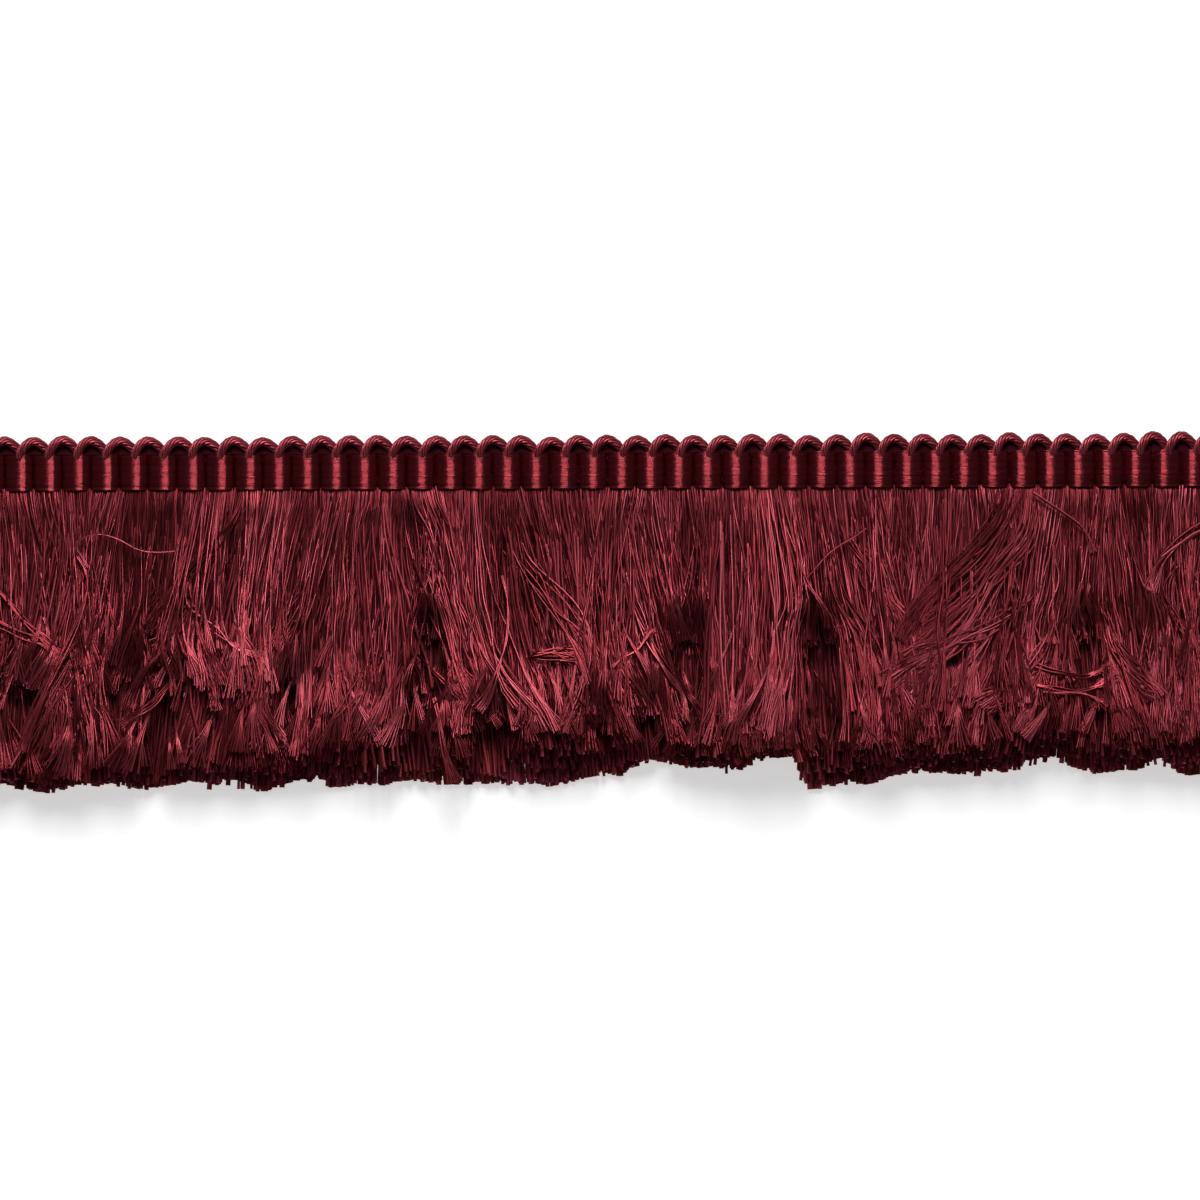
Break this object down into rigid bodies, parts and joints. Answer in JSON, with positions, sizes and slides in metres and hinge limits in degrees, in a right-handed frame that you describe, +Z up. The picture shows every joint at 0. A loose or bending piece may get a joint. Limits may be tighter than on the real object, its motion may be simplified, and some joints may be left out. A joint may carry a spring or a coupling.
{
  "type": "brush fringe trim",
  "caption": "Cut length of satin brush fringe in wine red: a ribbed woven heading with a looped upper edge and a thick skirt of loose cut yarns, lying flat on its back.",
  "frame": {"origin": "the middle of the trim's length and width, on the surface that it lies on", "axes": "X runs along the trim, +Y points across it to the looped edge, +Z points up from the surface"},
  "size_m": [0.22, 0.061, 0.0141],
  "materials": {
    "heading_satin": "satin warp yarns laid over raised ribs",
    "loop_yarn": "loosely twisted satin yarn",
    "fringe_yarn": "loose cut satin yarns"
  },
  "bodies": {
    "root": {"heading": "heading_satin", "selvedge_loops": "loop_yarn", "fringe": "fringe_yarn"}
  },
  "joints": []
}
